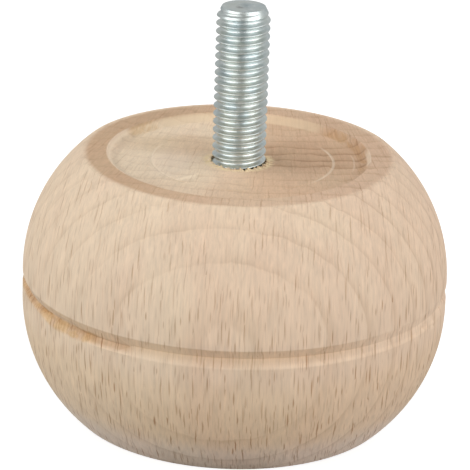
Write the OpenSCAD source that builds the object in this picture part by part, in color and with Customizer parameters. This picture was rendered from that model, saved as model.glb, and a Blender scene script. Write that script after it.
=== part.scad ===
// Ball furniture foot: a turned wooden ball with a steel stud in its top.
// The ball stands on its flat base at z = 0, and the stud points up along +Z.

/* [Ball] */
// Diameter of the ball at its waist
ball_d = 63; // [54:0.5:80]
// Height of the ball, from the flat base to the flat ring on top
ball_h = 40; // [36:0.5:48]
// Diameter of the flat top, out to its edge
top_d = 46.2; // [42:0.1:52]
// Diameter of the flat base, out to its edge
base_d = 47.2; // [42:0.1:52]
// Height of the straight band between the two rounded sides
band_h = 4; // [2:0.1:6]
// Height of the middle of that band above the base
band_z = 19.8; // [17:0.1:22]
// Rounding of the edge between the side and the top
top_edge_r = 0.4; // [0.1:0.05:1]
// Rounding of the edge between the side and the base
base_edge_r = 0.6; // [0.1:0.05:1.5]

/* [Groove] */
// Width of the turned groove at its mouth
groove_w = 2.7; // [1:0.1:4]
// Depth of the groove
groove_depth = 0.7; // [0.3:0.05:2]
// Height of the middle of the groove above the base
groove_z = 20.4; // [18:0.1:22]

/* [Recess] */
// Width of the flat ring that is left around the recess
ring_w = 3.8; // [2:0.1:8]
// Depth of the recess below the ring
recess_depth = 1; // [0.4:0.05:2]
// Radius of the cove between the recess's wall and its floor
cove_r = 2.1; // [1:0.1:4]

/* [Stud] */
// Outside diameter of the machine thread
stud_d = 7.9; // [5.9:0.05:9.9]
// Pitch of the machine thread
thread_pitch = 1.25; // [0.8:0.05:2]
// Depth of the thread, from its crest to its root
thread_depth = 0.63; // [0.2:0.01:1]
// Height of the stud's end above the flat ring
stud_proud = 22.5; // [12:0.1:40]
// Chamfer at both ends of the stud
stud_chamfer = 0.6; // [0.2:0.05:1.2]
// Diameter of the plain shank that sits in the ball
shank_d = 7.2; // [5:0.05:7.6]
// Length of the stud's buried end, from the recess's floor down
shank_len = 22; // [12:0.5:30]
// Radius of the round-nosed dimple in the stud's end
dimple_r = 1.4; // [0.8:0.1:2.5]
// Depth of the dimple
dimple_depth = 0.25; // [0.1:0.05:0.6]

/* [Hole] */
// Gap between the shank and the wall of its hole
hole_clearance = 0.1; // [0.05:0.01:0.3]
// Gap between the thread and the broken-out mouth of the hole
mouth_clearance = 0.4; // [0.1:0.05:1]
// Depth of the broken-out mouth
mouth_depth = 0.8; // [0.3:0.1:2]

/* [Hidden] */
// Smoothness of the round faces
$fn = 160;
// How far each cut runs past the face that it opens
overrun = 1;

ball_r = ball_d / 2;
band_top = band_z + band_h / 2;
band_bottom = band_z - band_h / 2;

recess_r = top_d / 2 - ring_w;
recess_floor = ball_h - recess_depth;
cove_rise = min(cove_r, recess_depth);
cove_run = sqrt(2 * cove_r * cove_rise - cove_rise * cove_rise);

stud_r = stud_d / 2;
stud_end = ball_h + stud_proud;
shank_r = shank_d / 2;
hole_floor = recess_floor - shank_len;
mouth_floor = recess_floor - mouth_depth;

// Shares of the pitch that the thread's flat crest and its flat root take up
crest_share = 0.125;
root_share = 0.25;
root_r = stud_r - thread_depth;
crest_len = thread_pitch * crest_share;
flank_len = thread_pitch * (1 - crest_share - root_share) / 2;
thread_top = stud_end - stud_chamfer;
ridges = floor((thread_top - crest_len - flank_len - mouth_floor) / thread_pitch) + 1;

// Section of half a ball, from its band at y = 0 up to a flat end.
// The side is one arc that leaves the band upright and meets the flat at flat_r.
module half_section(flat_r, rise, edge_r) {
    inset = ball_r - flat_r;
    side_r = (inset * inset + rise * rise) / (2 * inset);
    side_x = ball_r - side_r;
    edge_y = rise - edge_r;
    edge_x = side_x + sqrt(pow(side_r - edge_r, 2) - pow(edge_y, 2));
    touch_y = edge_y * side_r / (side_r - edge_r);
    intersection() {
        translate([side_x, 0]) circle(r = side_r);
        square([ball_r, touch_y]);
    }
    translate([edge_x, edge_y]) circle(r = edge_r);
    square([edge_x, rise]);
}

// Groove with two straight flanks, which run on past the surface of the ball
module groove_section() {
    mouth_y = groove_w / 2 * (1 + overrun / groove_depth);
    translate([ball_r, groove_z])
        polygon([[-groove_depth, 0], [overrun, -mouth_y], [overrun, mouth_y]]);
}

// Recess with a flat floor and a coved wall
module recess_section() {
    floor_r = recess_r - cove_run;
    translate([0, recess_floor]) square([floor_r, recess_depth + overrun]);
    intersection() {
        translate([floor_r, recess_floor + cove_r]) circle(r = cove_r);
        translate([floor_r, recess_floor]) square([cove_r, cove_rise]);
    }
    translate([0, recess_floor + cove_rise])
        square([recess_r, recess_depth - cove_rise + overrun]);
}

module ball_section() {
    difference() {
        union() {
            translate([0, band_top]) half_section(top_d / 2, ball_h - band_top, top_edge_r);
            translate([0, band_bottom]) mirror([0, 1]) half_section(base_d / 2, band_bottom, base_edge_r);
            translate([0, band_bottom]) square([ball_r, band_h]);
        }
        groove_section();
        recess_section();
    }
}

// The wooden ball, turned in one piece, with a blind hole for the stud
module turned_ball() {
    color([0.81, 0.69, 0.56]) difference() {
        rotate_extrude() ball_section();
        translate([0, 0, hole_floor])
            cylinder(r = shank_r + hole_clearance, h = shank_len + overrun);
        translate([0, 0, mouth_floor])
            cylinder(r = stud_r + mouth_clearance, h = mouth_depth + overrun);
    }
}

// Section of one ridge of the thread, from the root below it to its crest's upper edge
function ridge(top) = [
    [root_r, top - crest_len - flank_len],
    [stud_r, top - crest_len],
    [stud_r, top],
];

// The steel stud, whose shank stands on the floor of the hole.
// Its thread is a stack of rings with the thread's own section, counted down from the end.
module threaded_stud() {
    color([0.66, 0.69, 0.69]) difference() {
        rotate_extrude() polygon([
            [0, hole_floor],
            [shank_r - stud_chamfer, hole_floor],
            [shank_r, hole_floor + stud_chamfer],
            [shank_r, mouth_floor],
            [root_r, mouth_floor],
            for (up = [1 - ridges : 0], top = [thread_top + up * thread_pitch]) each [
                each ridge(top),
                each up < 0 ? [[root_r, top + flank_len]] : [],
            ],
            [stud_r - stud_chamfer, stud_end],
            [0, stud_end],
        ]);
        translate([0, 0, stud_end - dimple_depth + dimple_r]) sphere(r = dimple_r);
    }
}

turned_ball();
threaded_stud();
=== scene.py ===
import math

import bmesh
import bpy
from mathutils import Matrix, Vector, noise


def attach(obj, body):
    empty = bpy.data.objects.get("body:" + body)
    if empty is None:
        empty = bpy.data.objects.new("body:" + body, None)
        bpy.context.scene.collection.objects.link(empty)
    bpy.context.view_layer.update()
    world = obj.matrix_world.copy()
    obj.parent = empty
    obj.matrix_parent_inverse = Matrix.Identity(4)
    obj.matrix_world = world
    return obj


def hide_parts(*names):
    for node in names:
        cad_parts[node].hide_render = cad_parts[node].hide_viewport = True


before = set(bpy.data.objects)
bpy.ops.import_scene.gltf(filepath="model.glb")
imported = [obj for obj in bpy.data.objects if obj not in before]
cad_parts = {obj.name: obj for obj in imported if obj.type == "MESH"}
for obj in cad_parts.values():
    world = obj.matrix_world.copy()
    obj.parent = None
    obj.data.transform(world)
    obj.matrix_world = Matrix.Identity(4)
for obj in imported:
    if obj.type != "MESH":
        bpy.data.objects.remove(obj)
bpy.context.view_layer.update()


# Turned ball: one piece of bare beech with its grain upright, turned and sanded. It has a V groove round its
# waist, torn out along the grain on the left, and a coved recess in its top with the marks of the cutter.
# The stud's hole is drilled down the middle of the recess, and its mouth has broken out into short fibres.
mm = 0.001
ball_r = 31.5 * mm
ball_h = 40 * mm
top_r = 23.1 * mm
base_r = 23.6 * mm
band_low = 17.8 * mm
band_high = 21.8 * mm
top_edge_r = 0.4 * mm
base_edge_r = 0.6 * mm
groove_z = 20.4 * mm
groove_half = 1.35 * mm
groove_depth = 0.7 * mm
recess_r = 19.3 * mm
recess_floor = 39 * mm
cove_r = 2.1 * mm
burr_r = recess_r + 0.3 * mm
hole_r = 3.7 * mm
hole_floor = 17 * mm
mouth_r = 4.35 * mm
mouth_floor = 38.2 * mm
frayed_r = mouth_r + 1.4 * mm
mark_r, mark_off = 13.4 * mm, 0.55 * mm
mark_width = 0.22 * mm
mark_in, mark_out = mark_r - mark_off - mark_width, mark_r + mark_off + mark_width
sectors, steps_a_sector = 12, 45


def sweep(bm, last, parts, **how):
    """Draws an outline on from its last vertex, and gives its new end."""
    swept = bmesh.ops.spin(bm, geom=[last], axis=(0, 1, 0), steps=parts, use_duplicate=False, **how)
    return next(g for g in swept["geom_last"] if isinstance(g, bmesh.types.BMVert))


def run_to(bm, last, r, z, parts):
    """A straight stretch of an outline, in so many parts."""
    return sweep(bm, last, parts, dvec=(Vector((r, 0, z)) - last.co) / parts)


def arc_to(bm, last, centre_r, centre_z, angle, parts):
    """An arc of an outline, about a centre in its own plane."""
    return sweep(bm, last, parts, cent=(centre_r, 0, centre_z), angle=angle)


def side_arc(flat_r, rise, edge_r):
    """Radius of a rounded side, the place of its edge's rounding, and the angle where the two meet."""
    inset = ball_r - flat_r
    side_r = (inset ** 2 + rise ** 2) / (2 * inset)
    edge_z = rise - edge_r
    edge_reach = math.sqrt((side_r - edge_r) ** 2 - edge_z ** 2)
    return side_r, ball_r - side_r + edge_reach, math.atan2(edge_z, edge_reach)


bm = bmesh.new()
tip = bm.verts.new((0, 0, hole_floor))
tip = run_to(bm, tip, hole_r, hole_floor, parts=1)
tip = run_to(bm, tip, hole_r, mouth_floor, parts=6)
tip = run_to(bm, tip, mouth_r, mouth_floor, parts=2)
tip = run_to(bm, tip, mouth_r, recess_floor, parts=5)
tip = run_to(bm, tip, frayed_r, recess_floor, parts=9)
tip = run_to(bm, tip, mark_in, recess_floor, parts=6)
tip = run_to(bm, tip, mark_out, recess_floor, parts=16)
cove_turn = math.acos(1 - (ball_h - recess_floor) / cove_r)
cove_start = recess_r - cove_r * math.sin(cove_turn)
tip = run_to(bm, tip, cove_start, recess_floor, parts=5)
tip = arc_to(bm, tip, cove_start, recess_floor + cove_r, -cove_turn, parts=9)
side_r, edge_x, edge_turn = side_arc(top_r, ball_h - band_high, top_edge_r)
tip = run_to(bm, tip, burr_r, ball_h, parts=3)
tip = run_to(bm, tip, edge_x, ball_h, parts=6)
tip = arc_to(bm, tip, edge_x, ball_h - top_edge_r, math.pi / 2 - edge_turn, parts=4)
tip = arc_to(bm, tip, ball_r - side_r, band_high, edge_turn, parts=22)
tip = run_to(bm, tip, ball_r, groove_z + groove_half, parts=1)
tip = run_to(bm, tip, ball_r - groove_depth, groove_z, parts=8)
tip = run_to(bm, tip, ball_r, groove_z - groove_half, parts=12)
tip = run_to(bm, tip, ball_r, band_low, parts=4)
side_r, edge_x, edge_turn = side_arc(base_r, band_low, base_edge_r)
tip = arc_to(bm, tip, ball_r - side_r, band_low, edge_turn, parts=22)
tip = arc_to(bm, tip, edge_x, base_edge_r, math.pi / 2 - edge_turn, parts=5)
tip = run_to(bm, tip, 0, 0, parts=8)
sector_turn = 2 * math.pi / sectors
bmesh.ops.spin(bm, geom=bm.verts[:] + bm.edges[:], axis=(0, 0, 1), angle=sector_turn,
               steps=steps_a_sector, use_duplicate=False)
bmesh.ops.spin(bm, geom=bm.verts[:] + bm.edges[:] + bm.faces[:], axis=(0, 0, 1),
               angle=sector_turn * (sectors - 1), steps=sectors - 1, use_duplicate=True)
bmesh.ops.remove_doubles(bm, verts=bm.verts[:], dist=0.001 * mm)
bmesh.ops.recalc_face_normals(bm, faces=bm.faces[:])


def fade(value, start, end):
    """Smooth step from 0 at start to 1 at end, either way round."""
    share = min(max((value - start) / (end - start), 0), 1)
    return share * share * (3 - 2 * share)


def bearing_of(v):
    """Bearing of a vertex in degrees, from the front and to the right."""
    return math.degrees(math.atan2(v.co.x, -v.co.y))


# The groove is torn from its far left to near the front, where the tool dug in and then lifted. On its right
# the tool ran shallow and left chips. The torn stretch gets more vertices, enough for single fibres.
torn_from, torn_to = -125, -39
dug_to = -27
dug_z = 20.05 * mm
pit_depth = 0.15 * mm
shallow_from, shallow_to = 20, 48
shallow_share = 0.5
chip_depth = 0.45 * mm
groove_top, groove_foot = groove_z + groove_half, groove_z - groove_half
flank_slope = groove_depth / groove_half
near_groove = groove_depth * 1.1
torn_low, torn_high = groove_foot - 0.6 * mm, groove_z + 0.3 * mm
torn_edges = [e for e in bm.edges
              if all(ball_r - v.co.to_2d().length < near_groove and torn_low < v.co.z < torn_high
                     and torn_from - 10 < bearing_of(v) < dug_to + 3 for v in e.verts)
              and abs(e.verts[0].co.z - e.verts[1].co.z) < 0.001 * mm]
bmesh.ops.subdivide_edges(bm, edges=torn_edges, cuts=2)

# The hole's mouth frays inwards and upwards, in broad splinters and fine fluff. The cutter's ring is a
# shallow cut, and the edge of the recess has a low ragged burr at both sides.
fray_in, splinter_in, fluff_in = 0.2 * mm, 0.22 * mm, 0.16 * mm
fray_up, splinter_up, fluff_up = 0.05 * mm, 0.24 * mm, 0.2 * mm
mark_depth = 0.07 * mm
burr_height = 0.06 * mm
for v in bm.verts:
    r, z = v.co.to_2d().length, v.co.z
    if r < hole_r / 2:
        continue
    turn = bearing_of(v)
    around = math.radians(turn) * ball_r / mm
    out, lift = 0, 0
    if r > ball_r - near_groove and torn_low < z < groove_top:
        depth = ball_r - r
        out += shallow_share * depth * fade(turn, shallow_from, shallow_to) * fade(turn, 170, 120)
        dug = fade(turn, torn_from - 12, torn_from) * fade(turn, dug_to + 0.8, dug_to - 1.6)
        torn = dug * fade(turn, torn_to + 3, torn_to - 3)
        fibre = noise.noise(Vector((around / 0.3, z / (2.6 * mm), 3)))
        chunk = noise.noise(Vector((around / 2.3, z / (1.4 * mm), 9)))
        tuft = torn * fade(turn, -44, -47) * fade(turn, -60, -56)
        low_tuft = torn * fade(turn, -40, -44) * fade(turn, -60, -56)
        far_left = torn * fade(turn, -57, -70)
        corner_z = dug_z + (0.4 * tuft + 0.35 * far_left) * mm
        ragged = torn * (0.3 * chunk + 0.05 * fibre)
        foot = groove_foot + (0.1 * torn - 0.4 * low_tuft + 0.6 * far_left + ragged) * mm
        share = min(max((z - foot) / (corner_z - foot), 0), 1.5) ** (1 + 0.6 * torn)
        stringy = 1 - torn * (0.05 + 0.3 * chunk + 0.15 * fibre)
        rise = (groove_top - corner_z) * flank_slope * share * stringy
        out -= dug * (max(min((groove_top - z) * flank_slope, rise), 0) - depth)
        pit = max(noise.noise(Vector((around / 1.3, 4, 27))), 0)
        out -= pit_depth * torn * pit * fade(abs(z - corner_z), 0.3 * mm, 0.1 * mm)
        lower = fade(z, groove_z + 0.02 * mm, groove_z - 0.2 * mm)
        chips = fade(turn, 55, 61) * fade(turn, 92, 84)
        chip = max(noise.noise(Vector((around / 1.4, z / (0.8 * mm), 21))) - 0.1, 0)
        out -= chip_depth * chips * chip * lower
    elif r < mouth_r + 1.3 * mm and z > mouth_floor - 0.1 * mm:
        near = fade(r, mouth_r + 1.2 * mm, mouth_r)
        high = fade(z, mouth_floor, mouth_floor + 0.4 * mm)
        splinter = noise.noise(Vector((math.radians(turn) * 7, r / mm * 0.7, 5)))
        fluff = noise.noise(Vector((math.radians(turn) * 22, z / mm * 2, 15)))
        out -= near * high * (fray_in + splinter_in * splinter + fluff_in * fluff)
        lift += near * high * (fray_up + splinter_up * splinter + fluff_up * fluff)
    elif abs(r - mark_r) < mark_off + mark_width and z > mouth_floor:
        away = abs(math.hypot(v.co.x - mark_off, v.co.y) - mark_r)
        cut = fade(away, mark_width, 0.4 * mark_width)
        lift -= mark_depth * cut * fade(noise.noise(Vector((math.radians(turn) * 1.1, 0, 2))), -0.3, 0.1)
    elif abs(r - recess_r) < 0.2 * mm and z > ball_h - 0.3 * mm:
        ragged = 0.6 + 0.6 * noise.noise(Vector((around / 1.5, 0, 41)))
        lift += burr_height * ragged * fade(abs(turn), 50, 60) * fade(abs(turn), 125, 118)
    v.co.x += out * v.co.x / r
    v.co.y += out * v.co.y / r
    v.co.z += lift

mesh = bpy.data.meshes.new("turned_ball_looks")
bm.to_mesh(mesh)
bm.free()
mesh.polygons.foreach_set("use_smooth", [True] * len(mesh.polygons))
mesh.set_sharp_from_angle(angle=math.radians(32))
ball = bpy.data.objects.new("turned_ball_looks", mesh)
bpy.context.scene.collection.objects.link(ball)


def feed(tree, socket, term):
    """Links a socket, or sets a plain number or colour on it."""
    if isinstance(term, bpy.types.NodeSocket):
        tree.links.new(term, socket)
    else:
        socket.default_value = term


def calc(tree, operation, *terms):
    """A Math node on sockets or plain numbers."""
    made = tree.nodes.new("ShaderNodeMath")
    made.operation = operation
    for socket, term in zip(made.inputs, terms):
        feed(tree, socket, term)
    return made.outputs[0]


def times(tree, first, *others):
    """The product of two or more masks or levels."""
    for other in others:
        first = calc(tree, "MULTIPLY", first, other)
    return first


def graded(tree, mask, gain, base):
    """A level that rises from its base by a gain, as a mask fills."""
    return calc(tree, "MULTIPLY_ADD", mask, gain, base)


def vector(tree, operation, *terms):
    """A Vector Math node on sockets or plain vectors."""
    made = tree.nodes.new("ShaderNodeVectorMath")
    made.operation = operation
    for socket, term in zip(made.inputs, terms):
        feed(tree, socket, term)
    return made.outputs["Value" if operation == "LENGTH" else "Vector"]


def step(tree, value, start, end):
    """0 before start, 1 after end, smooth between them, either way round."""
    made = tree.nodes.new("ShaderNodeMapRange")
    made.interpolation_type = "SMOOTHSTEP"
    low, high = (start, end) if start < end else (end, start)
    feed(tree, made.inputs["Value"], value)
    made.inputs["From Min"].default_value = low
    made.inputs["From Max"].default_value = high
    made.inputs["To Min"].default_value = 0 if start < end else 1
    made.inputs["To Max"].default_value = 1 if start < end else 0
    return made.outputs["Result"]


def window(tree, value, start, full, still, end):
    """1 from full to still, fading to 0 at start and end."""
    return times(tree, step(tree, value, start, full), step(tree, value, end, still))


def split(tree, value):
    """The three parts of a vector."""
    made = tree.nodes.new("ShaderNodeSeparateXYZ")
    feed(tree, made.inputs[0], value)
    return made.outputs


def join(tree, x, y, z):
    """A vector from three parts."""
    made = tree.nodes.new("ShaderNodeCombineXYZ")
    for socket, term in zip(made.inputs, (x, y, z)):
        feed(tree, socket, term)
    return made.outputs[0]


def cloud(tree, place, detail=2, roughness=0.5, output="Fac"):
    """Noise of about one feature for each unit of place."""
    made = tree.nodes.new("ShaderNodeTexNoise")
    feed(tree, made.inputs["Vector"], place)
    made.inputs["Scale"].default_value = 1
    made.inputs["Detail"].default_value = detail
    made.inputs["Roughness"].default_value = roughness
    return made.outputs[output]


def tint(tree, share, under, over, blend="MIX"):
    """One colour over another, by a share."""
    made = tree.nodes.new("ShaderNodeMix")
    made.data_type = "RGBA"
    made.blend_type = blend
    feed(tree, made.inputs["Factor"], share)
    feed(tree, made.inputs["A"], under)
    feed(tree, made.inputs["B"], over)
    return made.outputs["Result"]


def stain(tree, share, colour, tone):
    """A colour multiplied by a tone, by a share."""
    return tint(tree, share, colour, tone, "MULTIPLY")


beech = bpy.data.materials.new("bare_beech")
beech.use_nodes = True
tree = beech.node_tree
wood = tree.nodes["Principled BSDF"]
in_mm = (1000, 1000, 1000)
coords = tree.nodes.new("ShaderNodeTexCoord").outputs["Object"]
place = vector(tree, "MULTIPLY", coords, in_mm)
px, py, pz = split(tree, place)
reach = vector(tree, "LENGTH", join(tree, px, py, 0))
bearing = calc(tree, "ARCTAN2", px, calc(tree, "MULTIPLY", py, -1))
turn = calc(tree, "MULTIPLY", bearing, 180 / math.pi)
off_front = calc(tree, "ABSOLUTE", turn)
off_back = calc(tree, "SUBTRACT", 180, off_front)

# The tree's middle lay behind the ball and a little to its right, so its growth rings are upright shells round
# a line there, which leans back by a degree. They wander a little, and more so on the top.
pith = (5.94, 84.96, 0)
pith_lean = (-0.0085, 0.0185, 0)
ring_at, ring_gap = 114.2, 2.87


def drift(tree, spread, sway):
    """A wandering offset across the grain, of so many millimetres, that changes slowly along it."""
    made = cloud(tree, vector(tree, "MULTIPLY", place, spread), 2, 0.5, "Color")
    return vector(tree, "MULTIPLY", vector(tree, "SUBTRACT", made, (0.5, 0.5, 0.5)), (sway, sway, 0))


grown = place
for spread, sway in (((0.05, 0.05, 0.016), 1.0), ((0.35, 0.35, 0.1), 0.45), ((1.8, 1.8, 0.2), 0.22)):
    grown = vector(tree, "ADD", grown, drift(tree, spread, sway))
lean = vector(tree, "MULTIPLY", join(tree, pz, pz, 0), pith_lean)
fx, fy = split(tree, vector(tree, "SUBTRACT", vector(tree, "SUBTRACT", grown, pith), lean))[:2]
wave = cloud(tree, vector(tree, "MULTIPLY", place, (0.22, 0.5, 0)))
on_top = step(tree, pz, 38.7, 38.95)
wave = times(tree, graded(tree, wave, 3, -1.5), on_top)
trunk_r = calc(tree, "ADD", vector(tree, "LENGTH", join(tree, fx, fy, 0)), wave)
along = calc(tree, "MULTIPLY", calc(tree, "ARCTAN2", fx, calc(tree, "MULTIPLY", fy, -1)), ring_at)
season = calc(tree, "FRACT", calc(tree, "DIVIDE", calc(tree, "SUBTRACT", trunk_r, ring_at), ring_gap))
year_end = step(tree, season, 1, 0.94)
late_line = times(tree, calc(tree, "POWER", season, 8), year_end)
late_wood = times(tree, calc(tree, "POWER", season, 4), year_end)


def grain_place(tree, across, up, out):
    """Place in the wood, scaled along the ring, up the trunk and out from its middle."""
    return join(tree, calc(tree, "MULTIPLY", along, across), calc(tree, "MULTIPLY", pz, up),
                calc(tree, "MULTIPLY", trunk_r, out))


def rays(tree, gap, width, height, keep):
    """Rays of the wood: thin upright plates that run out from its middle, cut through by the surface."""
    cells = grain_place(tree, 1 / gap[0], 1 / gap[1], 1 / gap[2])
    made = tree.nodes.new("ShaderNodeTexVoronoi")
    feed(tree, made.inputs["Vector"], cells)
    made.inputs["Scale"].default_value = 1
    off = split(tree, vector(tree, "SUBTRACT", cells, made.outputs["Position"]))
    luck = split(tree, made.outputs["Color"])
    tall = graded(tree, luck[1], height, height * 0.4)
    across = calc(tree, "MULTIPLY", off[0], gap[0] / width)
    up = calc(tree, "DIVIDE", calc(tree, "MULTIPLY", off[1], gap[1]), tall)
    out = calc(tree, "MULTIPLY", off[2], 1.2)
    far = vector(tree, "LENGTH", join(tree, across, up, out))
    chosen = times(tree, step(tree, luck[0], 0.9 - keep, 1.1 - keep), step(tree, far, 1, 0.35))
    return times(tree, chosen, graded(tree, luck[2], 0.75, 0.25))


big_rays = rays(tree, gap=(1.1, 4.2, 6), width=0.15, height=1.95, keep=0.95)
small_rays = rays(tree, gap=(0.68, 3.5, 4), width=0.12, height=1.65, keep=0.98)
fibres = cloud(tree, grain_place(tree, across=3.4, up=0.16, out=1.2), detail=3, roughness=0.6)
shimmer = cloud(tree, grain_place(tree, across=0.9, up=0.2, out=0.3), detail=2, roughness=0.6)
bands = cloud(tree, grain_place(tree, across=0.13, up=0.03, out=0.1), detail=2)
patch = cloud(tree, grain_place(tree, across=0.12, up=0.06, out=0.2), detail=1)

# Broad changes of colour: yellower at the left and pinker at the right, in soft upright bands, and warmer
# under the groove. Painted light pales the front above the groove, painted shade darkens the lower front, and
# a painted reflection of the white floor cools the colour near the base.
pale_wood, pink_wood = (0.800, 0.632, 0.462, 1), (0.790, 0.592, 0.432, 1)
warm_tone, floor_reflection_tone = (1, 0.985, 0.94, 1), (0.97, 1.015, 1.11, 1)
low_front_shade_tone, front_painted_light_tone = (0.96, 0.945, 0.92, 1), (1.045, 1.05, 1.045, 1)
side = step(tree, graded(tree, calc(tree, "SUBTRACT", bands, 0.5), 110, px), -30, 30)
colour = tint(tree, side, pale_wood, pink_wood)
colour = stain(tree, window(tree, pz, 3, 8, 14, 18), colour, warm_tone)
# Painted reflection of the white floor: the colour turns cooler near the base.
colour = stain(tree, step(tree, pz, 7, 2.5), colour, floor_reflection_tone)
# Painted shade: the lower front, which turns down from the lamps, is darker and warmer.
low_front_shade = times(tree, window(tree, px, -20, -8, 8, 20), window(tree, pz, 4, 7, 11, 14))
colour = stain(tree, low_front_shade, colour, low_front_shade_tone)
# Painted light: the front above the groove, which faces the camera and the lamps, is made paler.
front_painted_light = times(tree, window(tree, px, -16, -6, 8, 16), window(tree, pz, 21.8, 23, 30, 34))
colour = stain(tree, front_painted_light, colour, front_painted_light_tone)
streak = graded(tree, calc(tree, "SUBTRACT", fibres, 0.5), 0.36,
                graded(tree, calc(tree, "SUBTRACT", shimmer, 0.5), 0.22, 1))
colour = vector(tree, "MULTIPLY", colour, join(tree, streak, streak, streak))

# Late wood darkens the end of each year, most of all on the right of the recess's floor. Its thin last line
# comes and goes: it is clear at the right and near the base, and faint at the left.
late_tone, floor_late_tone = (0.80, 0.74, 0.68, 1), (0.72, 0.64, 0.56, 1)
end_grain = times(tree, on_top, step(tree, reach, 22.95, 21.95))
in_recess = times(tree, end_grain, step(tree, reach, 19.3, 18.9))
right_floor = times(tree, in_recess, window(tree, py, -5, -1, 5, 10), step(tree, px, 1, 5))
late_share = times(tree, late_wood, graded(tree, right_floor, 0.8, 0.2))
colour = stain(tree, late_share, colour, tint(tree, right_floor, late_tone, floor_late_tone))
right_side = step(tree, px, 5, 22)
line_share = graded(tree, step(tree, patch, 0.4, 0.62), 0.42, graded(tree, end_grain, 0.2, 0.14))
line_share = graded(tree, right_side, 0.3, line_share)
line_share = graded(tree, step(tree, pz, 9, 4), 0.3, line_share)
line_share = times(tree, line_share, graded(tree, step(tree, px, -8, -20), -0.35, 1))
colour = stain(tree, times(tree, late_line, line_share), colour, late_tone)

# Rays are darker low on the ball, where the cut meets them squarely, hairlines on end grain, and faint at the
# back of both sides, where the ball is cut along them.
ray_tone = (0.65, 0.52, 0.42, 1)
ray_depth = graded(tree, step(tree, pz, 36, 20), 0.45, graded(tree, right_side, 0.05, 0.6))
ray_depth = graded(tree, step(tree, pz, 17, 12), 0.2, ray_depth)
on_ring = times(tree, end_grain, step(tree, reach, 18.9, 19.4))
hairline = graded(tree, on_ring, 0.3, graded(tree, end_grain, -0.4, 1))
cut_along = calc(tree, "ADD", window(tree, turn, 78, 100, 116, 138),
                 window(tree, turn, -146, -124, -108, -86))
cut_along = times(tree, cut_along, window(tree, pz, 1, 5, 34, 38))
ray_depth = times(tree, ray_depth, hairline, graded(tree, cut_along, -0.7, 1))
for cut, share in ((small_rays, 0.65), (big_rays, 1)):
    colour = stain(tree, times(tree, ray_depth, share, cut), colour, ray_tone)

# End grain on the ring and in the recess is darker, because the cut fibres drink in the light. It is brown at
# the left of the ring and at the right of the recess, and one dark year crosses the ring at the right.
floor_left_tone, floor_right_tone = (1.06, 1.09, 1.10, 1), (0.86, 0.785, 0.715, 1)
front_floor_shade_tone = (0.89, 0.86, 0.84, 1)
ring_left_tone, ring_right_tone = (0.77, 0.67, 0.585, 1), (0.87, 0.81, 0.77, 1)
back_left_tone, back_right_tone = (0.73, 0.63, 0.55, 1), (0.82, 0.75, 0.69, 1)
dark_year_tone = (0.83, 0.79, 0.75, 1)
floor_tone = tint(tree, step(tree, px, -7, 6), floor_left_tone, floor_right_tone)
colour = stain(tree, in_recess, colour, floor_tone)
# Painted shade darkens the front of the recess's floor, under its front wall.
front_floor_shade = times(tree, step(tree, py, -6, -13), step(tree, px, 6, -4), in_recess)
colour = stain(tree, front_floor_shade, colour, front_floor_shade_tone)
ring_tone = tint(tree, step(tree, px, -16, 2), ring_left_tone, ring_right_tone)
back_tone = tint(tree, step(tree, px, -14, 4), back_left_tone, back_right_tone)
ring_tone = tint(tree, step(tree, py, 3, 14), ring_tone, back_tone)
colour = stain(tree, on_ring, colour, ring_tone)
dark_year = times(tree, window(tree, py, 0.2, 0.7, 1.1, 1.6), step(tree, px, 5, 12))
colour = stain(tree, times(tree, on_ring, dark_year), colour, dark_year_tone)


def spot(tree, x, y, half_x, half_y):
    """A soft round patch on the top of the ball."""
    across = calc(tree, "DIVIDE", calc(tree, "SUBTRACT", px, x), half_x)
    deep = calc(tree, "DIVIDE", calc(tree, "SUBTRACT", py, y), half_y)
    away = vector(tree, "LENGTH", join(tree, across, deep, 0))
    return times(tree, end_grain, step(tree, away, 1.35, 0.5))


# The cutter pressed the floor smooth and pink at the left and scorched the right. Behind the pressed patch the
# floor is darker and browner.
pressed_wood, back_left_patch_tone, scorched_tone = (0.87, 0.73, 0.61, 1), (0.86, 0.82, 0.77, 1), (0.85, 0.80, 0.76, 1)
pressed = spot(tree, x=-9.9, y=-2, half_x=3, half_y=6.5)
colour = tint(tree, times(tree, pressed, 0.2), colour, pressed_wood)
# A darker, browner patch on the floor behind the pressed one.
back_left_patch = spot(tree, x=-8, y=6, half_x=9.5, half_y=4.5)
colour = stain(tree, back_left_patch, colour, back_left_patch_tone)
scorched = spot(tree, x=9.5, y=3, half_x=9, half_y=7)
colour = stain(tree, times(tree, scorched, 0.8), colour, scorched_tone)

# Painted light makes the recess's wall pale at the back, where it faces the light, and painted shade makes it
# golden brown at the corners and at the right. Its edge stands up as a pale burr at both sides, with a faint
# shade in the cove at the left.
back_wall_painted_light_wood, wall_painted_shade_tone = (0.80, 0.62, 0.42, 1), (0.88, 0.80, 0.68, 1)
burr_wood, cove_tone = (0.90, 0.74, 0.57, 1), (0.94, 0.93, 0.93, 1)
on_wall = times(tree, end_grain, window(tree, reach, 17.4, 18.1, 19.1, 19.4))
# Painted light: the back wall, which faces the light, is made pale.
back_wall_painted_light = times(tree, on_wall, step(tree, off_back, 44, 36), 0.6)
colour = tint(tree, back_wall_painted_light, colour, back_wall_painted_light_wood)
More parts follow.
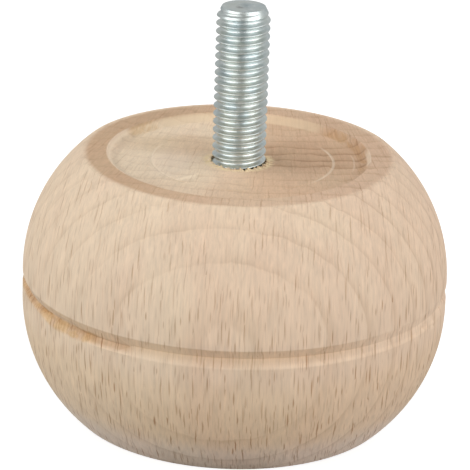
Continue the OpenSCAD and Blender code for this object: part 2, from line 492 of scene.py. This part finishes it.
# Painted shade makes the wall golden brown at the back corners and at the right, where it faces away from the
# light.
wall_shade_span = calc(tree, "ADD", window(tree, turn, 72, 84, 132, 140),
                  window(tree, turn, -140, -134, -122, -116))
wall_painted_shade = times(tree, on_wall, wall_shade_span, step(tree, shimmer, 0.3, 0.6))
colour = stain(tree, wall_painted_shade, colour, wall_painted_shade_tone)
left_cove = times(tree, window(tree, turn, -124, -116, -70, -60), window(tree, reach, 17.2, 17.9, 18.4, 18.8))
colour = stain(tree, times(tree, left_cove, in_recess), colour, cove_tone)
burr_span = calc(tree, "ADD", window(tree, turn, -124, -116, -60, -50), window(tree, turn, 80, 86, 96, 104))
burr = times(tree, burr_span, window(tree, reach, 18.7, 19.0, 19.3, 19.55), end_grain, 0.7)
colour = tint(tree, burr, colour, burr_wood)

# The cutter left a fine ring a little off centre, part of a second one, and a scrape at the front left.
mark_wood, scrape_tone = (0.87, 0.72, 0.55, 1), (1.14, 1.17, 1.2, 1)
mark_reach = vector(tree, "LENGTH", join(tree, calc(tree, "SUBTRACT", px, mark_off / mm), py, 0))
marks = times(tree, window(tree, mark_reach, 13.1, 13.3, 13.5, 13.7),
              step(tree, off_back, 55, 70), step(tree, off_front, 45, 60))
second = times(tree, window(tree, reach, 16.8, 16.95, 17.05, 17.2), window(tree, turn, 76, 83, 98, 106))
marks = calc(tree, "MAXIMUM", times(tree, marks, 0.7), times(tree, second, 0.5))
colour = tint(tree, times(tree, marks, in_recess, 0.7), colour, mark_wood)
scrape_from, scrape_to = Vector((-8.9, -9.7)), Vector((-5.6, -6.6))
scrape_way = (scrape_to - scrape_from).normalized()
sx, sy = calc(tree, "SUBTRACT", px, scrape_from.x), calc(tree, "SUBTRACT", py, scrape_from.y)
scrape_run = graded(tree, sx, scrape_way.x, calc(tree, "MULTIPLY", sy, scrape_way.y))
scrape_off = graded(tree, sx, -scrape_way.y, calc(tree, "MULTIPLY", sy, scrape_way.x))
scrape = times(tree, window(tree, scrape_run, -0.3, 0.5, 4, 4.8),
               window(tree, scrape_off, -0.9, -0.1, 0.1, 0.6), in_recess)
colour = stain(tree, scrape, colour, scrape_tone)

# The broken mouth of the hole shows yellow fibres, with brown ones between.
fluff_wood = (0.84, 0.67, 0.42, 1)
mouth_rim = times(tree, end_grain, step(tree, reach, 5.7, 4.8), step(tree, off_front, 130, 95))
fluff = cloud(tree, join(tree, calc(tree, "MULTIPLY", bearing, 9), reach, 0), 2, 0.6)
colour = tint(tree, times(tree, mouth_rim, step(tree, fluff, 0.38, 0.54)), colour, fluff_wood)

# The groove is burnished brown by the tool, and its corner is darker still, partly dirt and partly painted
# shade. Where the tool ran shallow, at the right, it is hardly burnished, and painted light pales its upper
# flank there and its lower lip, where they face the light.
burnish_tone, corner_tone = (0.96, 0.92, 0.86, 1), (0.90, 0.86, 0.80, 1)
lit_lip_tone, lit_right_flank_tone = (1.055, 1.06, 1.055, 1), (1.05, 1.05, 1.05, 1)
tool_deep = step(tree, turn, shallow_to, shallow_from)
burnished = times(tree, tool_deep, window(tree, pz, 20.25, 20.45, 21.6, 21.8))
colour = stain(tree, burnished, colour, burnish_tone)
# The corner is darker, partly dirt and partly painted shade.
corner = times(tree, tool_deep, window(tree, pz, 19.1, 20.2, 20.35, 20.5))
colour = stain(tree, corner, colour, corner_tone)
# Painted light pales the lower lip from the front to the right, where it faces up to the light.
lip = times(tree, window(tree, pz, 18.85, 19.05, 19.35, 19.7), window(tree, turn, -5, 20, 62, 72))
colour = stain(tree, lip, colour, lit_lip_tone)
# Painted light pales the upper flank at the right, where light from the low right reaches it.
lit_right_flank = times(tree, window(tree, pz, 20.2, 20.5, 21.6, 21.8), window(tree, turn, 22, 55, 90, 120))
colour = stain(tree, lit_right_flank, colour, lit_right_flank_tone)

# The torn stretch shows short golden fibres and pink chips, with dark hairs and roots between them. Its far
# left is greyer, and painted shade darkens a gap at the foot of its upper flank.
torn_pink, torn_gold = (0.87, 0.79, 0.72, 1), (0.90, 0.80, 0.63, 1)
hair_tone, root_tone = (0.85, 0.76, 0.65, 1), (0.84, 0.76, 0.65, 1)
far_tone, gap_shade_tone = (1.01, 1.07, 1.16, 1), (0.85, 0.83, 0.81, 1)
clumps = cloud(tree, join(tree, times(tree, bearing, 16), times(tree, pz, 0.6), 0), 2, 0.6)
hairs = cloud(tree, join(tree, times(tree, bearing, 60), times(tree, pz, 0.9), 0), 3, 0.7)
torn_foot = graded(tree, window(tree, turn, -60, -56, -44, -40), -0.4, 19.55)
torn_foot = graded(tree, step(tree, turn, -57, -70), 0.6, torn_foot)
torn_foot = graded(tree, clumps, -0.8, torn_foot)
above_foot = calc(tree, "SUBTRACT", pz, torn_foot)
torn_span = window(tree, turn, torn_from - 15, torn_from, torn_to - 3, torn_to + 3)
torn = times(tree, torn_span, step(tree, above_foot, -0.2, 0.5), step(tree, pz, 20.6, 20.2))
golden = calc(tree, "ADD", window(tree, turn, -64, -62, -58, -55.5), window(tree, turn, -54.5, -53, -50, -48))
golden = calc(tree, "ADD", golden, window(tree, turn, -43.5, -42, -39, -37))
golden = calc(tree, "MAXIMUM", golden, step(tree, graded(tree, golden, 0.1, clumps), 0.5, 0.66))
colour = stain(tree, torn, colour, tint(tree, golden, torn_pink, torn_gold))
colour = stain(tree, times(tree, torn, step(tree, hairs, 0.45, 0.7)), colour, hair_tone)
torn_root = times(tree, torn_span, window(tree, pz, 19.7, 20.1, 20.4, 20.8),
                  graded(tree, step(tree, clumps, 0.6, 0.4), 0.6, 0.2))
colour = stain(tree, torn_root, colour, root_tone)
far_root = times(tree, torn_span, window(tree, pz, 20.0, 20.5, 21.5, 21.8), step(tree, turn, -58, -66))
colour = stain(tree, far_root, colour, far_tone)
# Painted shade darkens the gap at the foot of the upper flank.
gap_shade = times(tree, window(tree, turn, -57, -54, -47, -44), window(tree, pz, 20.2, 20.5, 20.9, 21.2),
                 graded(tree, step(tree, hairs, 0.35, 0.65), 0.5, 0.6))
colour = stain(tree, gap_shade, colour, gap_shade_tone)

# Past the torn stretch, up to where the tool lifted, the groove is deep and clean. Painted shade darkens its
# corner to brown, and its lower flank near the lip.
dug_corner_shade_tone, dug_flank_shade_tone = (0.88, 0.82, 0.76, 1), (0.93, 0.90, 0.87, 1)
# Painted shade darkens the deep corner.
dug_corner_shade = times(tree, window(tree, pz, 19.2, 19.6, 20.1, 20.3),
                   window(tree, turn, torn_to - 5, torn_to + 2, dug_to - 2, dug_to + 0.5))
colour = stain(tree, dug_corner_shade, colour, dug_corner_shade_tone)
# Painted shade dulls the lower flank near the lip, where it would catch the light.
dug_flank_shade = times(tree, window(tree, pz, 19.0, 19.3, 19.7, 19.95),
                  window(tree, turn, torn_to - 5, torn_to + 2, dug_to - 9, dug_to - 5))
colour = stain(tree, dug_flank_shade, colour, dug_flank_shade_tone)

tree.links.new(colour, wood.inputs["Base Color"])
wood.inputs["Roughness"].default_value = 0.62
wood.inputs["Specular IOR Level"].default_value = 0.3
height = graded(tree, fibres, -0.35, calc(tree, "MULTIPLY", big_rays, -1))
bump = tree.nodes.new("ShaderNodeBump")
bump.inputs["Strength"].default_value = 0.35
bump.inputs["Distance"].default_value = 0.06 * mm
tree.links.new(height, bump.inputs["Height"])
tree.links.new(bump.outputs["Normal"], wood.inputs["Normal"])
mesh.materials.append(beech)
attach(ball, "root")
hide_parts("turned_ball")


# Threaded stud: zinc-plated steel with a rolled right-hand M8 thread, driven into the ball's hole. Its end is
# chamfered and has a shallow dimple, and its buried half is left as a plain shank.
crest_r = 3.95 * mm
root_r = 3.32 * mm
lead = 1.25 * mm
crest_round, root_round = 0.13 * mm, 0.35 * mm
flank_turn = math.radians(61)
stud_end = 62.5 * mm
end_face_r = 3.2 * mm
end_taper = 0.5
shank_r = 3.6 * mm
shank_chamfer = 0.6 * mm
thread_start = 38.4 * mm
steps_a_turn = 72
dimple_edge_r = 0.8 * mm
dimple_depth = 0.25 * mm
crest_z = 58.93 * mm
crest_turn = -0.43
turns, turns_below_crest = 21, 17.5

bm = bmesh.new()
flank_in = root_r + root_round * (1 - math.cos(flank_turn))
flank_out = crest_r - crest_round * (1 - math.cos(flank_turn))
root_rise, crest_rise = root_round * math.sin(flank_turn), crest_round * math.sin(flank_turn)
last = bm.verts.new((root_r, 0, 0))
last = arc_to(bm, last, root_r + root_round, 0, flank_turn, parts=5)
last = run_to(bm, last, flank_out, lead / 2 - crest_rise, parts=3)
last = arc_to(bm, last, crest_r - crest_round, lead / 2, -2 * flank_turn, parts=10)
last = run_to(bm, last, flank_in, lead - root_rise, parts=3)
last = arc_to(bm, last, root_r + root_round, lead, flank_turn, parts=5)
bmesh.ops.translate(bm, verts=bm.verts[:], vec=(0, 0, crest_z - turns_below_crest * lead))
bmesh.ops.rotate(bm, verts=bm.verts[:], cent=(0, 0, 0),
                 matrix=Matrix.Rotation(crest_turn - math.pi / 2, 3, "Z"))
bmesh.ops.spin(bm, geom=bm.verts[:] + bm.edges[:], axis=(0, 0, 1), dvec=(0, 0, lead / steps_a_turn),
               angle=2 * math.pi, steps=steps_a_turn, use_duplicate=False)
bmesh.ops.spin(bm, geom=bm.verts[:] + bm.edges[:] + bm.faces[:], axis=(0, 0, 1), dvec=(0, 0, lead), angle=0,
               steps=turns - 1, use_duplicate=True)
bmesh.ops.remove_doubles(bm, verts=bm.verts[:], dist=0.002 * mm)
for z, up in ((stud_end, 1), (thread_start, -1)):
    bmesh.ops.bisect_plane(bm, geom=bm.verts[:] + bm.edges[:] + bm.faces[:], dist=0.0005 * mm,
                           plane_co=(0, 0, z), plane_no=(0, 0, up), clear_outer=True)
for v in bm.verts:
    r = math.hypot(v.co.x, v.co.y)
    limit = end_face_r + (stud_end - v.co.z) * end_taper
    if r > limit:
        v.co.x *= limit / r
        v.co.y *= limit / r


def rim_at(bm, z):
    """Edges of the open rim at a height."""
    return [e for e in bm.edges if e.is_boundary and all(abs(v.co.z - z) < 0.01 * mm for v in e.verts)]


def draw_in(bm, rim, r, z):
    """A new ring of faces from a rim, brought to a radius and a height."""
    made = bmesh.ops.extrude_edge_only(bm, edges=rim)["geom"]
    for v in (g for g in made if isinstance(g, bmesh.types.BMVert)):
        now = math.hypot(v.co.x, v.co.y)
        v.co = (v.co.x * r / now, v.co.y * r / now, z)
    return [g for g in made if isinstance(g, bmesh.types.BMEdge)]


end_rings = ((end_face_r - 0.12 * mm, stud_end), (1.9 * mm, stud_end), (dimple_edge_r, stud_end),
             (0.6 * dimple_edge_r, stud_end - 0.6 * dimple_depth),
             (0.25 * dimple_edge_r, stud_end - 0.92 * dimple_depth))
shank_rings = ((shank_r, thread_start - 0.3 * mm), (shank_r, hole_floor + shank_chamfer),
               (shank_r - shank_chamfer, hole_floor), (1 * mm, hole_floor))
for start, rings in ((stud_end, end_rings), (thread_start, shank_rings)):
    rim = rim_at(bm, start)
    for r, z in rings:
        rim = draw_in(bm, rim, r, z)
    bmesh.ops.holes_fill(bm, edges=rim)
bmesh.ops.recalc_face_normals(bm, faces=bm.faces[:])
mesh = bpy.data.meshes.new("threaded_stud_looks")
bm.to_mesh(mesh)
bm.free()
mesh.polygons.foreach_set("use_smooth", [True] * len(mesh.polygons))
mesh.set_sharp_from_angle(angle=math.radians(50))
stud = bpy.data.objects.new("threaded_stud_looks", mesh)
bpy.context.scene.collection.objects.link(stud)

# The plating is mottled between blue and green greys, and a grey smudge lies on the stud's end.
blue_zinc, green_zinc, bright_zinc = (0.58, 0.66, 0.67, 1), (0.65, 0.70, 0.665, 1), (0.75, 0.80, 0.79, 1)
smudge_grey = (0.40, 0.42, 0.41, 1)
smudge_at = (-0.5, -0.5, 62.4)
zinc = bpy.data.materials.new("bright_zinc")
zinc.use_nodes = True
tree = zinc.node_tree
metal = tree.nodes["Principled BSDF"]
coords = tree.nodes.new("ShaderNodeTexCoord").outputs["Object"]
place = vector(tree, "MULTIPLY", coords, in_mm)
mottle = cloud(tree, vector(tree, "MULTIPLY", place, (0.9, 0.9, 0.9)), 4, 0.6)
hue = cloud(tree, vector(tree, "MULTIPLY", place, (0.35, 0.35, 0.35)), 2, 0.5)
metal_tone = tint(tree, step(tree, hue, 0.35, 0.65), blue_zinc, green_zinc)
metal_tone = tint(tree, step(tree, mottle, 0.4, 0.75), metal_tone, bright_zinc)
end_x, end_y, end_z = split(tree, vector(tree, "SUBTRACT", place, smudge_at))
smudge = times(tree, step(tree, vector(tree, "LENGTH", join(tree, end_x, end_y, 0)), 0.85, 0.4),
               step(tree, end_z, -0.4, -0.3), step(tree, mottle, 0.3, 0.5))
metal_tone = tint(tree, smudge, metal_tone, smudge_grey)
tree.links.new(metal_tone, metal.inputs["Base Color"])
metal.inputs["Metallic"].default_value = 1
tree.links.new(graded(tree, mottle, 0.16, 0.31), metal.inputs["Roughness"])
mesh.materials.append(zinc)
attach(stud, "root")
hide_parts("threaded_stud")


# Studio: a white sheet under and behind the foot, a soft box at each side of the camera, two weaker lamps
# further back, and a pale room. A grey tent shows only in reflections, as the dark between the boxes.
def stage_piece(name, bm):
    """An object that belongs to the studio and not to the foot."""
    mesh = bpy.data.meshes.new(name)
    bm.to_mesh(mesh)
    bm.free()
    piece = bpy.data.objects.new(name, mesh)
    bpy.context.scene.collection.objects.link(piece)
    return piece


def seen_ray(tree):
    """1 for rays from the camera, mirrors and glass, which see the white of the studio, and 0 for light."""
    path = tree.nodes.new("ShaderNodeLightPath").outputs
    mirrored = calc(tree, "MAXIMUM", path["Is Glossy Ray"], path["Is Transmission Ray"])
    return calc(tree, "MAXIMUM", path["Is Camera Ray"], mirrored)


sheet_r = 3
sheet_grey, sheet_glow = (0.4, 0.4, 0.4, 1), 0.8
bm = bmesh.new()
bmesh.ops.create_circle(bm, cap_ends=True, segments=64, radius=sheet_r)
floor_sheet = stage_piece("floor_sheet", bm)
sheet = bpy.data.materials.new("white_sheet")
sheet.use_nodes = True
tree = sheet.node_tree
paper = tree.nodes["Principled BSDF"]
paper.inputs["Base Color"].default_value = sheet_grey
paper.inputs["Roughness"].default_value = 0.8
paper.inputs["Specular IOR Level"].default_value = 0
glow = tree.nodes.new("ShaderNodeEmission")
tree.links.new(calc(tree, "MULTIPLY", seen_ray(tree), sheet_glow), glow.inputs["Strength"])
both = tree.nodes.new("ShaderNodeAddShader")
tree.links.new(paper.outputs[0], both.inputs[0])
tree.links.new(glow.outputs[0], both.inputs[1])
tree.links.new(both.outputs[0], tree.nodes["Material Output"].inputs["Surface"])
floor_sheet.data.materials.append(sheet)

# The tent's cloth is darkest behind the camera and brightest low down, where the table in front of it is lit.
tent_r = 1.6
tent_grey = 0.46
bm = bmesh.new()
bmesh.ops.create_uvsphere(bm, u_segments=48, v_segments=24, radius=tent_r)
bmesh.ops.bisect_plane(bm, geom=bm.verts[:] + bm.edges[:] + bm.faces[:], plane_co=(0, 0, 0.05 * mm),
                       plane_no=(0, 0, -1), clear_outer=True)
bmesh.ops.holes_fill(bm, edges=[e for e in bm.edges if e.is_boundary])
tent = stage_piece("grey_tent", bm)
tent.visible_camera = tent.visible_diffuse = tent.visible_shadow = tent.visible_transmission = False
cloth = bpy.data.materials.new("grey_cloth")
cloth.use_nodes = True
tree = cloth.node_tree
glow = tree.nodes.new("ShaderNodeEmission")
tx, ty, tz = split(tree, tree.nodes.new("ShaderNodeTexCoord").outputs["Object"])
bearing = calc(tree, "ARCTAN2", tx, calc(tree, "MULTIPLY", ty, -1))
turn = calc(tree, "MULTIPLY", bearing, 180 / math.pi)
lit_table = calc(tree, "ADD", window(tree, turn, -90, -75, -28, -18), window(tree, turn, 10, 20, 70, 85))
lit_table = times(tree, lit_table, step(tree, tz, 0.12, 0.02))
near_right_box, right_wall = window(tree, turn, 22, 34, 60, 72), window(tree, turn, 70, 90, 150, 170)
round_camera = window(tree, turn, -30, -18, 12, 22)
behind = times(tree, step(tree, calc(tree, "ABSOLUTE", turn), 130, 150), window(tree, tz, 0.1, 0.25, 0.7, 1))
tent_level = graded(tree, lit_table, 0.55, tent_grey)
for cloth_part, gain in ((near_right_box, 0.16), (right_wall, 0.08), (round_camera, -0.3), (behind, 0.15)):
    tent_level = graded(tree, cloth_part, gain, tent_level)
tree.links.new(tent_level, glow.inputs["Strength"])
tree.links.new(glow.outputs[0], tree.nodes["Material Output"].inputs["Surface"])
tent.data.materials.append(cloth)

room_level = 0.23
world = bpy.data.worlds.new("pale_room")
bpy.context.scene.world = world
world.use_nodes = True
tree = world.node_tree
room = tree.nodes["Background"]
tree.links.new(graded(tree, seen_ray(tree), 1 - room_level, room_level), room.inputs["Strength"])
room.inputs["Color"].default_value = (1, 1, 1, 1)


def lamp_at(name, bearing, elevation, width, power, height=0.9, distance=1.2):
    """A wide lamp that faces the foot; its bearing is in degrees to the right of the camera's side."""
    lamp = bpy.data.lights.new(name, "AREA")
    lamp.shape = "RECTANGLE"
    lamp.size, lamp.size_y, lamp.energy = width, height, power
    a, e = math.radians(bearing), math.radians(elevation)
    away = Vector((math.sin(a) * math.cos(e), -math.cos(a) * math.cos(e), math.sin(e)))
    holder = bpy.data.objects.new(name, lamp)
    holder.matrix_world = Matrix.Translation(Vector((0, 0, ball_h)) + away * distance) @ \
        away.to_track_quat("Z", "Y").to_matrix().to_4x4()
    bpy.context.scene.collection.objects.link(holder)
    return holder


lamp_at("left_box", bearing=-55, elevation=22, width=1.4, power=7.4)
lamp_at("right_box", bearing=49, elevation=22, width=1.4, power=7.9)
left_back = lamp_at("left_back_lamp", bearing=-110, elevation=40, width=0.9, power=5.3)
right_back = lamp_at("right_back_lamp", bearing=110, elevation=40, width=0.9, power=4.7)
left_back.visible_glossy = right_back.visible_glossy = False

# Camera: a long lens in front of the foot and above it, tipped to its right as in the photo.
image_width = 470
focal_pixels = 3102
camera_back, camera_up = 430.15 * mm, 189.36 * mm
yaw, pitch, roll = (math.radians(a) for a in (-0.021, -20.654, 1.9735))
lens = bpy.data.cameras.new("camera")
lens.sensor_width = 36
lens.lens = focal_pixels / image_width * lens.sensor_width
forward = Vector((math.sin(yaw) * math.cos(pitch), math.cos(yaw) * math.cos(pitch), math.sin(pitch)))
right = Vector((math.cos(yaw), -math.sin(yaw), 0))
up = right.cross(forward)
right, up = math.cos(roll) * right + math.sin(roll) * up, math.cos(roll) * up - math.sin(roll) * right
camera = bpy.data.objects.new("camera", lens)
turned = Matrix((right, up, -forward)).transposed().to_4x4()
camera.matrix_world = Matrix.Translation((0, -camera_back, camera_up)) @ turned
bpy.context.scene.collection.objects.link(camera)
bpy.context.scene.camera = camera
bpy.context.scene.view_settings.view_transform = "Standard"
